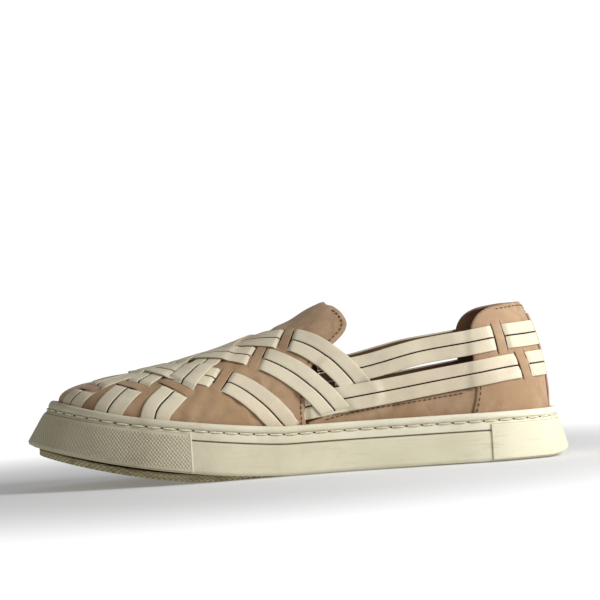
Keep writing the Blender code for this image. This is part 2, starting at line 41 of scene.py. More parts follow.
# Sizes of the last and the sole, the same as in the CAD
LENGTH = 0.282
BALL_WIDTH = 0.1015
INSTEP_HEIGHT = 0.0874
CLEARANCE = 0.0003
RIM_HEIGHT = 0.0257
TOE_RIM_RISE = 0.0205
LIP_CLEAR = 0.0004
TOE_LIP_RISE = 0.023
TREAD_SPRING = 0.0195
HEEL_TREAD_RISE = 0.002
ARCH_RISE = 0.0012
BAND_HEIGHT = 0.0094
BAND_THICKNESS = 0.0043
BUMPER_DROP = 0.0057
LIP_ROUND = 0.0022
WALL = 0.0018
STRAND_WIDTH = 0.0071
SIDE_STRAND_WIDTH = 0.0063
STRAND_SLIT = 0.0006
UPPER_INSET = BAND_THICKNESS + CLEARANCE
CUP_SHARE = 0.2
RIM_TUCK = 0.06
SPRING_SHARE, TREAD_SPRING_SHARE, HEEL_RISE_SHARE = 0.53, 0.67, 0.95
ARCH_START_SHARE, ARCH_SHARE = 0.3, 0.28
TOE_LEAN_SLOPE, TOE_LEAN_SHARE = 0.62, 0.8
HEEL_LEAN_SLOPE, HEEL_LEAN_SHARE = 0.25, 0.88
LEAN_POWER = 1.5
TINY = 1e-4
BLOCK = 4000
INNER, OUTER = 1, -1
SIDES = ((INNER, "inner"), (OUTER, "outer"))

INNER_OUTLINE = (
    (0.0, 0.0), (0.03, 0.225), (0.12, 0.348), (0.27, 0.338), (0.42, 0.318), (0.56, 0.38), (0.7, 0.468),
    (0.8, 0.466), (0.9, 0.392), (0.965, 0.262), (1.0, 0.06),
)
OUTER_OUTLINE = (
    (0.0, 0.0), (0.03, -0.225), (0.12, -0.352), (0.27, -0.378), (0.42, -0.418), (0.55, -0.49),
    (0.65, -0.532), (0.76, -0.505), (0.87, -0.392), (0.95, -0.22), (1.0, 0.06),
)
LAST_SECTIONS = (
    (0.0, 0.285, 1.27, 2.25), (0.1, 0.29, 1.27, 2.25), (0.2, 0.302, 1.265, 2.25),
    (0.3, 0.334, 1.215, 2.22), (0.4, 0.403, 1.045, 2.1), (0.45, 0.454, 0.997, 2.0),
    (0.5, 0.506, 0.912, 1.95), (0.6, 0.607, 0.786, 1.9), (0.7, 0.697, 0.708, 1.98),
    (0.8, 0.77, 0.661, 2.12), (0.9, 0.817, 0.64, 2.2), (1.0, 0.848, 0.628, 2.2),
)

# Panels of the upper in side view: share of LENGTH, share of INSTEP_HEIGHT
VAMP_EDGE = (
    (0.44, 1.06), (0.434, 0.998), (0.424, 0.985), (0.414, 0.957), (0.407, 0.922), (0.403, 0.874),
    (0.408, 0.833), (0.421, 0.788), (0.438, 0.744), (0.477, 0.62), (0.489, 0.5), (0.493, 0.4),
    (0.494, 0.3), (0.494, 0.15),
)
QUARTER_EDGE = (
    (0.515, 0.262), (0.492, 0.3), (0.463, 0.332), (0.4, 0.372), (0.302, 0.405), (0.2, 0.442),
    (0.15, 0.462),
)
COUNTER_EDGE = (
    (0.192, 0.15), (0.189, 0.25), (0.187, 0.3), (0.181, 0.37), (0.177, 0.445), (0.178, 0.52), (0.18, 0.64),
    (0.181, 0.74), (0.179, 0.805), (0.169, 0.862), (0.147, 0.908), (0.121, 0.925), (0.093, 0.933),
    (0.04, 0.928), (-0.06, 0.925),
)
VAMP_FIELD = ((1.2, 0.15), (1.2, 1.3), (0.44, 1.3))
QUARTER_FIELD = ((0.15, 0.15), (0.515, 0.15))
COUNTER_FIELD = ((-0.1, 0.925), (-0.1, 0.15))

# Straps: share along the side, share rim to ridge to far rim
WOVEN_STRAPS = {
    1: (
        (0.924, -0.06), (0.92, 0.06), (0.901, 0.362), (0.867, 0.624), (0.8, 1.0), (0.715, 1.38),
        (0.661, 1.5), (0.612, 1.63), (0.561, 1.83), (0.517, 2.06),
    ),
    2: (
        (0.831, -0.06), (0.822, 0.09), (0.794, 0.41), (0.765, 0.64), (0.7, 1.0), (0.63, 1.22),
        (0.568, 1.42), (0.513, 1.63), (0.47, 1.82), (0.435, 1.985),
    ),
    3: (
        (0.743, -0.06), (0.738, 0.08), (0.711, 0.33), (0.69, 0.5), (0.655, 0.72), (0.605, 1.0),
        (0.56, 1.18), (0.5, 1.4), (0.455, 1.6), (0.425, 1.74), (0.398, 1.88),
    ),
}
SIDE_STRAPS = {
    "upper": (
        (0.442, 0.262), (0.397, 0.255), (0.299, 0.246), (0.21, 0.255), (0.154, 0.266), (0.083, 0.273),
        (0.04, 0.275),
    ),
    "lower": (
        (0.515, 0.1), (0.48, 0.108), (0.411, 0.114), (0.3, 0.113), (0.211, 0.13), (0.128, 0.147),
        (0.07, 0.151), (0.04, 0.151),
    ),
}
BRIDGES = {
    "vamp_low": ((0.641, 0.31), (0.613, 0.53)),
    "vamp_mid": ((0.574, 0.47), (0.552, 0.67)),
    "vamp_top": ((0.519, 0.57), (0.501, 0.75)),
    "toe_back": ((0.737, 0.529), (0.684, 0.308)),
    "toe_middle": ((0.843, 0.64), (0.768, 0.423)),
    "toe_front": ((0.93, 0.52), (0.872, 0.43)),
    "counter_top": ((0.153, 0.34), (0.156, 0.19)),
    "counter_low": ((0.125, 0.21), (0.114, 0.09)),
}

# Heights over the leather
STRAP_TOP = 1.15 * MM
STRAP_THICK = 1.1 * MM
STRAP_SUNK = -0.4 * MM
BRIDGE_TOP = 0.55 * MM
BRIDGE_WIDTH = 5.0 * MM
COUNTER_LIFT = 0.85 * MM
PAIR_HALF = STRAND_WIDTH + STRAND_SLIT / 2
SIDE_PAIR_HALF = SIDE_STRAND_WIDTH + STRAND_SLIT / 2
BACK_STRIP_WIDTH = 19 * MM
EDGE_REACH, EDGE_ROUND, EDGE_DROP = 6 * MM, 1.6 * MM, 0.4 * MM
RIM_STITCH_PITCH = 8 * MM
KNURL_PITCH = 1.75 * MM
TREAD_INSET = 4.9 * MM


# Curves and the surface of the last
def hermite(keys, values, start_slope=None, end_slope=None):
    """A smooth curve through the rows of values, for an array of keys."""
    keys = np.asarray(keys, float)
    values = np.asarray(values, float)
    steps = np.diff(keys)
    chords = np.diff(values, axis=0) / steps[:, None]
    slopes = np.empty_like(values)
    weight = (steps[1:] / (steps[1:] + steps[:-1]))[:, None]
    slopes[1:-1] = chords[:-1] * weight + chords[1:] * (1 - weight)
    slopes[0] = chords[0] if start_slope is None else start_slope
    slopes[-1] = chords[-1] if end_slope is None else end_slope

    def value_at(key):
        key = np.atleast_1d(np.asarray(key, float))
        i = np.clip(np.searchsorted(keys, key) - 1, 0, len(steps) - 1)
        t = np.clip((key - keys[i]) / steps[i], 0.0, 1.0)[:, None]
        rise = values[i + 1] - values[i]
        first = steps[i][:, None] * slopes[i]
        last = steps[i][:, None] * slopes[i + 1]
        bend = first - 2 * rise + last
        return values[i] + first * t + (3 * rise - 2 * first - last) * t**2 + bend * t**3

    return value_at


def edge_lengths(points):
    """Length along a row of points, from 0."""
    steps = np.linalg.norm(np.diff(np.asarray(points, float), axis=0), axis=1)
    return np.concatenate([[0.0], np.cumsum(steps)])


def chord_shares(points):
    """The share of the way along at each point, and the whole length."""
    along = edge_lengths(points)
    return along / along[-1], along[-1]


def unit(rows):
    return rows / np.linalg.norm(rows, axis=1)[:, None]


def outline_curve(rows, middle=0.0):
    points = [((x - 0.5) * LENGTH, y * BALL_WIDTH - middle) for x, y in rows]
    keys, total = chord_shares(points)
    outward = math.copysign(total, rows[1][1])
    return hermite(keys, points, (0.0, outward), (0.0, -outward))


CAD_SHARES = (1 - np.cos(np.pi * np.arange(29) / 28)) / 2
INNER_REACH = outline_curve(INNER_OUTLINE)(CAD_SHARES)[:, 1].max()
OUTER_REACH = outline_curve(OUTER_OUTLINE)(CAD_SHARES)[:, 1].min()
MIDDLE = (INNER_REACH + OUTER_REACH) / 2
OUTLINE = {INNER: outline_curve(INNER_OUTLINE, MIDDLE), OUTER: outline_curve(OUTER_OUTLINE, MIDDLE)}
SECTION_CURVE = hermite([row[0] for row in LAST_SECTIONS], [row[1:] for row in LAST_SECTIONS])


def outline(station, side, inset=0.0):
    """Points of the sole's outline, moved inwards in plan by inset."""
    station = np.atleast_1d(np.asarray(station, float))
    run = OUTLINE[side](np.minimum(station + TINY, 1)) - OUTLINE[side](np.maximum(station - TINY, 0))
    run[(station <= 0) | (station >= 1), 0] = 0.0
    run = unit(run)
    at = OUTLINE[side](station)
    return np.stack([at[:, 0] + side * run[:, 1] * inset, at[:, 1] - side * run[:, 0] * inset], axis=1)


def beyond(share, start, power):
    return np.maximum((share - start) / (1 - start), 0.0) ** power


def heel_rise(share):
    return HEEL_TREAD_RISE * beyond(1 - share, HEEL_RISE_SHARE, 2.0)


def lip_height(x):
    share = x / LENGTH + 0.5
    return LIP_CLEAR + TOE_LIP_RISE * beyond(share, SPRING_SHARE, 1.64) + heel_rise(share)


def tread_height(x):
    share = x / LENGTH + 0.5
    arch = np.clip((share - ARCH_START_SHARE) / ARCH_SHARE, 0, 1)
    spring = TREAD_SPRING * beyond(share, TREAD_SPRING_SHARE, 1.5)
    return spring + heel_rise(share) + ARCH_RISE * np.sin(math.pi * arch) ** 2


def rim_height(x):
    return RIM_HEIGHT + TOE_RIM_RISE * beyond(x / LENGTH + 0.5, SPRING_SHARE, 1.3)


def leaned(points):
    """The same places once the toe and the heel lean inwards from the sole's lip up to its rim."""
    x, y, z = points.T
    share = x / LENGTH + 0.5
    foot = lip_height(x) + LIP_ROUND
    level = np.minimum(np.maximum(z, foot), rim_height(x)) - foot
    toe = TOE_LEAN_SLOPE * beyond(share, TOE_LEAN_SHARE, LEAN_POWER)
    heel = HEEL_LEAN_SLOPE * beyond(1 - share, HEEL_LEAN_SHARE, LEAN_POWER)
    return np.stack([x + level * (heel - toe), y, z], axis=1)


def last(station, across):
    """Points of the upper's outer surface. across goes from 0 at the inner rim to 2 at the outer rim."""
    station, across = np.broadcast_arrays(np.asarray(station, float), np.asarray(across, float))
    station, across = station.ravel(), across.ravel()
    beyond_end = (station < 0) | (station > 1)
    across = np.where(beyond_end, 2 - across, across)
    station = np.where(station < 0, -station, np.where(station > 1, 2 - station, station))
    inner, outer = outline(station, INNER, UPPER_INSET), outline(station, OUTER, UPPER_INSET)
    ridge_share, height, fullness = SECTION_CURVE(station).T
    ridge_y = (inner[:, 1] + outer[:, 1]) / 2
    foot = np.where((across > 1)[:, None], outer, inner)
    share = np.where(across > 1, 2 - across, across)
    rim = rim_height(foot[:, 0])
    angle = np.clip(share, 0, 1) * math.pi / 2
    run = 1 - np.maximum(np.cos(angle), 0) ** (2 / fullness)
    rise = np.sin(angle) ** (2 / fullness)
    x = foot[:, 0] + run * ((ridge_share - 0.5) * LENGTH - foot[:, 0])
    y = foot[:, 1] + run * (ridge_y - foot[:, 1])
    below = np.minimum(share, 0) / CUP_SHARE * (BAND_HEIGHT - CLEARANCE)
    z = rim + rise * (height * INSTEP_HEIGHT - rim) + below
    return leaned(np.stack([x, y, z], axis=1))


def last_frame(station, across):
    along = (last(station + TINY, across) - last(station - TINY, across)) / (2 * TINY)
    over = (last(station, across + TINY) - last(station, across - TINY)) / (2 * TINY)
    return along, over, unit(np.cross(over, along))


def mirrored(rows, side):
    return [(station, across if side == INNER else 2 - across) for station, across in rows]


def smoothstep(value):
    value = np.clip(value, 0, 1)
    return value * value * (3 - 2 * value)


def line_gap(points, line):
    """Distance from each point to the nearest point of a line."""
    found = np.empty(len(points))
    for start in range(0, len(points), BLOCK):
        block = points[start:start + BLOCK]
        found[start:start + BLOCK] = np.sqrt(((block[:, None, :] - line[None, :, :]) ** 2).sum(2)).min(1)
    return found


def near(points, line, half, ramp):
    """1 within half of a line of points, falling to 0 over ramp."""
    return smoothstep((half + ramp - line_gap(points, line)) / ramp)


# Mesh helpers
def placed(name, data):
    """A new object in the scene."""
    made = bpy.data.objects.new(name, data)
    bpy.context.scene.collection.objects.link(made)
    return made


def mesh_piece(name, points, faces, materials, edge, face_slots=None, sharp=None):
    """An object of one mesh. edge gives each point's share of darkening, for the materials: painted shade in
    grooves, hollows, seams and under the rim band, and darker edges on the leather pieces.
    """
    mesh = bpy.data.meshes.new(name)
    mesh.from_pydata([tuple(p) for p in points], [], faces)
    for material in materials:
        mesh.materials.append(material)
    if face_slots is not None:
        mesh.polygons.foreach_set("material_index", np.asarray(face_slots, np.int32))
    layer = mesh.attributes.new("edge", "FLOAT", "POINT")
    layer.data.foreach_set("value", np.ravel(edge).astype(np.float32))
    mesh.validate()
    mesh.shade_smooth()
    if sharp:
        mesh.set_sharp_from_angle(angle=math.radians(sharp))
    return placed(name, mesh)


def grid_faces(rows, columns, wrap_rows=False, wrap_columns=False):
    faces = []
    for i in range(rows if wrap_rows else rows - 1):
        for j in range(columns if wrap_columns else columns - 1):
            k, m = (i + 1) % rows, (j + 1) % columns
            faces.append((i * columns + j, k * columns + j, k * columns + m, i * columns + m))
    return faces


def dress(piece, slot_name, *nodes):
    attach(piece, "root")
    if nodes:
        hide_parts(*nodes)
    return piece


# Material helpers
class Tree:
    def __init__(self, name):
        self.material = bpy.data.materials.new(name)
        self.material.use_nodes = True
        self.nodes = self.material.node_tree.nodes
        self.links = self.material.node_tree.links
        self.shader = self.nodes["Principled BSDF"]
        self.place = self.add("ShaderNodeTexCoord").outputs["Object"]

    def add(self, kind, inputs=None, **settings):
        """A node with these settings. Each input takes a number or another node's output."""
        node = self.nodes.new(kind)
        for key, value in settings.items():
            setattr(node, key, value)
        for key, value in (inputs or {}).items():
            self.set(node.inputs[key], value)
        return node

    def set(self, socket, value):
        if isinstance(value, bpy.types.NodeSocket):
            self.links.new(value, socket)
        else:
            socket.default_value = value

    def noise(self, scale, detail=3.0, rough=0.55, stretch=None, distort=0.0):
        place = self.place
        if stretch:
            place = self.add("ShaderNodeMapping", {"Vector": place, "Scale": stretch}).outputs["Vector"]
        inputs = {"Vector": place, "Scale": scale, "Detail": detail}
        inputs |= {"Roughness": rough, "Distortion": distort}
        return self.add("ShaderNodeTexNoise", inputs).outputs["Fac"]

    def patches(self, noise, low, high, out_low=0.0, out_high=1.0, **shape):
        """Soft spots of a noise, as a share between out_low and out_high."""
        return self.range(self.noise(*noise, **shape), low, high, out_low, out_high)

    def layers(self, colour, *over):
        """A colour with others mixed over it, each given as (share, colour)."""
        for share, other in over:
            colour = self.mix(share, colour, other)
        return colour

    def cells(self, scale):
        inputs = {"Vector": self.place, "Scale": scale}
        return self.add("ShaderNodeTexVoronoi", inputs, feature="DISTANCE_TO_EDGE").outputs["Distance"]

    def attribute(self, name):
        return self.add("ShaderNodeAttribute", attribute_name=name).outputs["Fac"]

    def axis(self, index):
        return self.add("ShaderNodeSeparateXYZ", {0: self.place}).outputs[index]

    def range(self, value, low, high, out_low=0.0, out_high=1.0):
        inputs = {"Value": value, "From Min": low, "From Max": high, "To Min": out_low, "To Max": out_high}
        return self.add("ShaderNodeMapRange", inputs, interpolation_type="SMOOTHSTEP").outputs["Result"]

    def times(self, first, second):
        return self.add("ShaderNodeMath", {0: first, 1: second}, operation="MULTIPLY").outputs[0]

    def mix(self, share, first, second):
        return self.add("ShaderNodeMix", {0: share, 6: first, 7: second}, data_type="RGBA").outputs[2]

    def bump(self, height, strength, distance, under=None):
        inputs = {"Strength": strength, "Distance": distance, "Height": height}
        if under:
            inputs["Normal"] = under
        return self.add("ShaderNodeBump", inputs).outputs["Normal"]

    def finish(self, colour, roughness, normal=None, specular=0.4, sheen=0.0):
        self.set(self.shader.inputs["Base Color"], colour)
        self.set(self.shader.inputs["Roughness"], roughness)
        self.shader.inputs["Specular IOR Level"].default_value = specular
        self.shader.inputs["Sheen Weight"].default_value = sheen
        if normal:
            self.links.new(normal, self.shader.inputs["Normal"])
        return self.material

    def gloss(self, scale, detail, low, high):
        """A roughness that goes softly between low and high."""
        return self.patches((scale, detail), 0.3, 0.7, low, high)


def rgb(red, green, blue):
    """A colour from its usual 0 to 255 numbers, in linear light."""
    shares = [c / 255 for c in (red, green, blue)]
    parts = [c / 12.92 if c <= 10 / 255 else ((c + 0.055) / 1.055) ** 2.4 for c in shares]
    return (*parts, 1.0)


def tan_leather(name, tone=1.0):
    tree = Tree(name)
    shades = (rgb(166, 135, 102), rgb(140, 110, 80), rgb(185, 156, 125), rgb(174, 138, 114))
    base, dark, pale, rosy = ((*(part * tone for part in shade[:3]), 1.0) for shade in shades)
    colour = tree.layers(
        base,
        (tree.patches((38, 4, 0.6), 0.38, 0.68), pale),
        (tree.patches((75, 5, 0.62), 0.45, 0.75, 0, 0.75, distort=0.4), dark),
        (tree.patches((22, 2, 0.5), 0.45, 0.7, 0, 0.6), rosy),
        (tree.patches((1500, 2, 0.6), 0.5, 0.75, 0, 0.3), dark),
        (tree.range(tree.attribute("edge"), 0.35, 1.0, 0, 0.55), rgb(112, 82, 60)),
    )
    normal = tree.bump(tree.noise(900, 4, 0.6), 0.35, 0.0003)
    normal = tree.bump(tree.noise(230, 3, 0.6), 0.25, 0.0006, normal)
    return tree.finish(colour, tree.gloss(60, 3, 0.74, 0.9), normal, 0.3, 0.15)


def ivory_leather():
    tree = Tree("ivory_strap_leather")
    colour = tree.layers(
        rgb(222, 212, 186),
        (tree.patches((30, 3, 0.55), 0.4, 0.68), rgb(217, 200, 174)),
        (tree.patches((60, 4, 0.6), 0.48, 0.75, 0, 0.8), rgb(204, 197, 174)),
        (tree.patches((2200, 2, 0.5), 0.52, 0.72, 0, 0.22), rgb(168, 154, 124)),
        (tree.range(tree.attribute("edge"), 0.55, 1.0, 0, 0.85), rgb(120, 104, 80)),
    )
    normal = tree.bump(tree.range(tree.cells(1100), 0.0, 0.16), 0.22, 0.00015)
    normal = tree.bump(tree.noise(260, 3, 0.55), 0.25, 0.0004, normal)
    return tree.finish(colour, tree.gloss(120, 3, 0.46, 0.62), normal, 0.4)


# A near-black material for sheets set where there is only shade: painted shade
def painted_shade_material(name, red, green, blue):
    tree = Tree(name)
    deeper = rgb(red * 0.7, green * 0.68, blue * 0.66)
    colour = tree.mix(tree.patches((160, 3), 0.35, 0.7), rgb(red, green, blue), deeper)
    normal = tree.bump(tree.noise(800, 3), 0.3, 0.0002)
    return tree.finish(colour, tree.gloss(90, 2, 0.75, 0.9), normal, 0.2)


def lining_leather(name):
    tree = Tree(name)
    colour = tree.mix(tree.patches((50, 4), 0.35, 0.7), rgb(116, 84, 60), rgb(92, 64, 45))
    colour = tree.mix(tree.patches((18, 2), 0.45, 0.7, 0, 0.6), colour, rgb(134, 101, 74))
    normal = tree.bump(tree.noise(1100, 3, 0.6), 0.3, 0.0002)
    return tree.finish(colour, tree.gloss(70, 2, 0.62, 0.8), normal, 0.3)


def cream_rubber(name, red=231, green=226, blue=200, dirt_and_shade=1.0):
    tree = Tree(name)
    # Darker towards the toe: partly painted shade where the toe turns from the light, partly dirt; the toe
    # patches below carry both
    toe_shade_and_dirt = tree.range(tree.axis(0), -0.06, 0.13, 0.05, 1.0)
    toe_grime_and_shade = tree.times(toe_shade_and_dirt, tree.patches((42, 5, 0.65), 0.4, 0.74, distort=0.5))
    colour = tree.layers(
        rgb(red, green, blue),
        (tree.patches((26, 3), 0.35, 0.7), rgb(red - 8, green - 9, blue - 11)),
        (tree.times(toe_shade_and_dirt, 0.55), rgb(176, 166, 138)),
        (tree.times(toe_grime_and_shade, 0.5 * dirt_and_shade), rgb(150, 138, 108)),
        (tree.patches((60, 4, 0.6), 0.52, 0.72, 0, 0.35 * dirt_and_shade, stretch=(1, 1, 9)), rgb(196, 186, 150)),
        (tree.patches((1400, 2), 0.55, 0.75, 0, 0.16 * dirt_and_shade), rgb(160, 146, 112)),
        # Darker where the edge attribute is high: painted shade in the rim's stitch channel, under and inside
        # the rim band, at the sole wall's top under the band, and in the panels' seams and knurl hollows
        (tree.range(tree.attribute("edge"), 0.2, 1.0, 0, 0.8), rgb(142, 128, 96)),
    )
    normal = tree.bump(tree.noise(700, 3, 0.6), 0.12, 0.0002)
    return tree.finish(colour, tree.gloss(50, 3, 0.5, 0.68), normal, 0.35)


def tread_rubber():
    tree = Tree("tread_rubber_worn")
    colour = tree.layers(
        rgb(206, 194, 158),
        (tree.patches((40, 4), 0.35, 0.7), rgb(170, 156, 120)),
        (tree.patches((120, 5, 0.65), 0.5, 0.72, 0, 0.7), rgb(132, 116, 88)),
        # Darker where the edge attribute is high: painted shade in the grooves between the tread ribs
        (tree.range(tree.attribute("edge"), 0.2, 1.0, 0, 0.8), rgb(96, 80, 56)),
    )
    normal = tree.bump(tree.noise(600, 4), 0.3, 0.0003)
    return tree.finish(colour, tree.gloss(70, 3, 0.68, 0.85), normal, 0.25)


def thread(name, red, green, blue):
    tree = Tree(name)
    darker = rgb(red * 0.8, green * 0.78, blue * 0.72)
    colour = tree.mix(tree.patches((1800, 2), 0.4, 0.7), rgb(red, green, blue), darker)
    normal = tree.bump(tree.noise(2600, 2), 0.4, 0.0001)
    return tree.finish(colour, tree.gloss(400, 2, 0.6, 0.8), normal, 0.3)


TAN = tan_leather("tan_nubuck")
# A lighter copy of the tan for the panels' cut edges: painted highlight
TAN_EDGE_HIGHLIGHT = tan_leather("tan_edge_highlight", 1.12)
IVORY = ivory_leather()
# SHADOW: near-black sheets under the strap slits, beside the bridges, under the back strip and in the rim's
# stitch holes, as painted shade
SHADOW = painted_shade_material("slit_shadow", 40, 30, 22)
LINING = lining_leather("lining_leather")
RUBBER = cream_rubber("cream_rubber")
RIM_RUBBER = cream_rubber("cream_rim_rubber", 241, 236, 213, 0.9)
PANEL_RUBBER = cream_rubber("cream_panel_rubber", 229, 223, 198, 1.1)
TREAD = tread_rubber()
DARK_THREAD = thread("dark_thread", 84, 64, 48)
CREAM_THREAD = thread("cream_thread", 236, 230, 204)


# The creases: lines on the last, depth and half width in mm
CREASES = (
    (((0.7, 0.1), (0.69, 0.22), (0.676, 0.34)), 0.35, 2.2),
    (((0.672, 0.06), (0.66, 0.18), (0.648, 0.28)), 0.45, 2.6),
    (((0.6, 0.2), (0.59, 0.34), (0.575, 0.44)), 0.4, 2.4),
    (((0.575, 0.08), (0.56, 0.2), (0.548, 0.3)), 0.35, 2.2),
    (((0.655, 1.7), (0.668, 1.8), (0.68, 1.93)), 0.45, 2.6),
    (((0.59, 1.62), (0.6, 1.74), (0.606, 1.86)), 0.4, 2.4),
    (((0.56, 0.62), (0.545, 0.8), (0.54, 1.0), (0.545, 1.2), (0.56, 1.38)), 0.45, 3.2),
    (((0.64, 0.6), (0.634, 0.8), (0.632, 1.0), (0.634, 1.2)), 0.4, 3.0),
    (((0.88, 0.6), (0.87, 0.85), (0.875, 1.15), (0.885, 1.4)), 0.25, 3.0),
    (((0.43, 0.02), (0.4, 0.05), (0.37, 0.055)), 0.35, 2.0),
    (((0.36, 0.02), (0.335, 0.06), (0.3, 0.07)), 0.3, 2.0),
    (((0.06, 0.06), (0.075, 0.1), (0.105, 0.12)), 0.35, 2.4),
    (((0.12, 0.26), (0.1, 0.3), (0.06, 0.33)), 0.3, 2.4),
    (((0.4, 1.95), (0.36, 1.94), (0.33, 1.935)), 0.35, 2.0),
    (((0.09, 1.9), (0.075, 1.85), (0.06, 1.78)), 0.35, 2.4),
)
CREASE_LINES = []
for rows, depth, half in CREASES:
    shares, _ = chord_shares(last(*np.array(rows).T))
    CREASE_LINES.append((last(*hermite(shares, rows)(np.linspace(0, 1, 24)).T), depth * MM, half * MM))


def waves(points, *direction):
    return points @ np.array(direction)


def crease_lift(points):
    """Soft troughs with a low ridge on both sides, and a gentle unevenness of the hide."""
    lift = 0.1 * MM * np.sin(waves(points, 310.0, 140.0, 90.0))
    lift *= np.sin(waves(points, -70.0, 260.0, 200.0) + 1.3)
    lift += 0.06 * MM * np.sin(waves(points, 620.0, -380.0, 410.0) + 0.7)
    for line, depth, half in CREASE_LINES:
        away = line_gap(points, line)
        lift -= depth * np.exp(-((away / half) ** 2))
        lift += 0.45 * depth * np.exp(-(((away - 1.9 * half) / half) ** 2))
    return lift


# Leather panels, as sheets on the last that are cut along a line in side view
def edge_run(rows, count=160):
    """A smooth line through side-view points, in metres."""
    points = np.array([((x - 0.5) * LENGTH, z * INSTEP_HEIGHT) for x, z in rows])
    keys, _ = chord_shares(points)
    return hermite(keys, points)(np.linspace(0, 1, count))


def inside(points, polygon):
    x, z = points[:, 0], points[:, 1]
    found = np.zeros(len(points), bool)
    for (x1, z1), (x2, z2) in zip(polygon, np.roll(polygon, -1, axis=0)):
        crosses = (z1 > z) != (z2 > z)
        if crosses.any():
            at = (x2 - x1) * (z[crosses] - z1) / (z2 - z1) + x1
            found[crosses] ^= x[crosses] < at
    return found


def line_distance(points, line):
    """Distance to a polyline in side view."""
    first, step = line[:-1], np.diff(line, axis=0)
    length = (step**2).sum(1)
    best = np.empty(len(points))
    for start in range(0, len(points), BLOCK):
        block = points[start:start + BLOCK]
        share = ((block[:, None, :] - first) * step).sum(2) / length
        gap = block[:, None, :] - (first + np.clip(share, 0, 1)[..., None] * step)
        best[start:start + BLOCK] = np.sqrt((gap**2).sum(2)).min(1)
    return best


def moved_to_edge(gap, q, w):
    """The same places once they have slid on the last to where gap is nought."""
    probe = 2 * TINY
    for _ in range(6):
        at = gap(q, w)
        along, over, _normal = last_frame(q, w)
        length_q, length_w = np.linalg.norm(along, axis=1), np.linalg.norm(over, axis=1)
        slope_q = (gap(q + probe, w) - gap(q - probe, w)) / (2 * probe) / length_q
        slope_w = (gap(q, w + probe) - gap(q, w - probe)) / (2 * probe) / length_w
        size = np.maximum(slope_q**2 + slope_w**2, 0.15)
        move = np.clip(at / size, -MM, MM)
        q = q - move * slope_q / length_q
        w = w - move * slope_w / length_w
    return q, w


def panel(name, edge, field, lift, stations, cells):
    """A leather piece of the upper. edge is its free line in side view, and field closes it."""
    line = edge_run(edge)
    closing = np.array([((x - 0.5) * LENGTH, z * INSTEP_HEIGHT) for x, z in field])
    polygon = np.concatenate([line, closing])

    def gap(q, w):
        side_view = last(q, w)[:, (0, 2)]
        away = line_distance(side_view, line)
        return np.where(inside(side_view, polygon), away, -away)

    spans = (np.linspace(*stations, cells[0]), np.linspace(-0.1, 2.1, cells[1]))
    q, w = (values.ravel() for values in np.meshgrid(*spans, indexing="ij"))
    held = gap(q, w)
    kept = []
    for face in grid_faces(*cells):
        at = held[list(face)]
        if (at > 0).sum() >= 2 and at.sum() > 0:
            kept.append(face)
    counts = {}
    for face in kept:
        for a, b in zip(face, face[1:] + face[:1]):
            key = (min(a, b), max(a, b))
            counts[key] = counts.get(key, 0) + 1
    border = np.array(sorted({v for pair, count in counts.items() if count == 1 for v in pair}))
    border = border[np.abs(held[border]) < EDGE_REACH]
    q[border], w[border] = moved_to_edge(gap, q[border], w[border])
    used = sorted({v for face in kept for v in face})
    index = {v: i for i, v in enumerate(used)}
    q, w = q[used], w[used]
    faces = [tuple(index[v] for v in face) for face in kept]
    points = last(q, w)
    normal = last_frame(q, w)[2]
    edge_share = smoothstep(1 - np.abs(gap(q, w)) / EDGE_ROUND)
    lifts = lift + crease_lift(points) - EDGE_DROP * edge_share
    outer = points + normal * lifts[:, None]
    piece = mesh_piece(name, outer, faces, [TAN, LINING, TAN_EDGE_HIGHLIGHT], edge_share * 0.8)
    middle = len(faces) // 2
    if piece.data.polygons[middle].normal.dot(Vector(normal[faces[middle][0]])) < 0:
        piece.data.flip_normals()
    wall = piece.modifiers.new("wall", "SOLIDIFY")
    wall.thickness = WALL
    wall.offset = -1.0
    wall.material_offset = 1
    # The wall's rim takes the lighter tan copy: painted highlight on the cut edge
    wall.material_offset_rim = 2
    return dress(piece, "tan_leather")


# Straps and bridges, as ribbons on the last
ROUNDED = (
    (-0.38, -1.0), (-0.47, -0.92), (-0.5, -0.7), (-0.5, -0.38), (-0.482, -0.14), (-0.44, -0.03),
    (-0.34, 0.0), (-0.17, 0.03), (0.0, 0.04), (0.17, 0.03), (0.34, 0.0), (0.44, -0.03), (0.482, -0.14),
    (0.5, -0.38), (0.5, -0.7), (0.47, -0.92), (0.38, -1.0), (0.0, -1.0),
)
ROUND_EDGE = (0.0, 0.2, 0.9, 1.0, 0.55, 0.1, 0, 0, 0, 0, 0, 0.1, 0.55, 1.0, 0.9, 0.2, 0, 0)


def centre_line(rows, count=140):
    shares, length = chord_shares(last(*np.array(rows).T))
    path = hermite(shares, rows)
    return last(*path(np.linspace(0, 1, count)).T), path, length


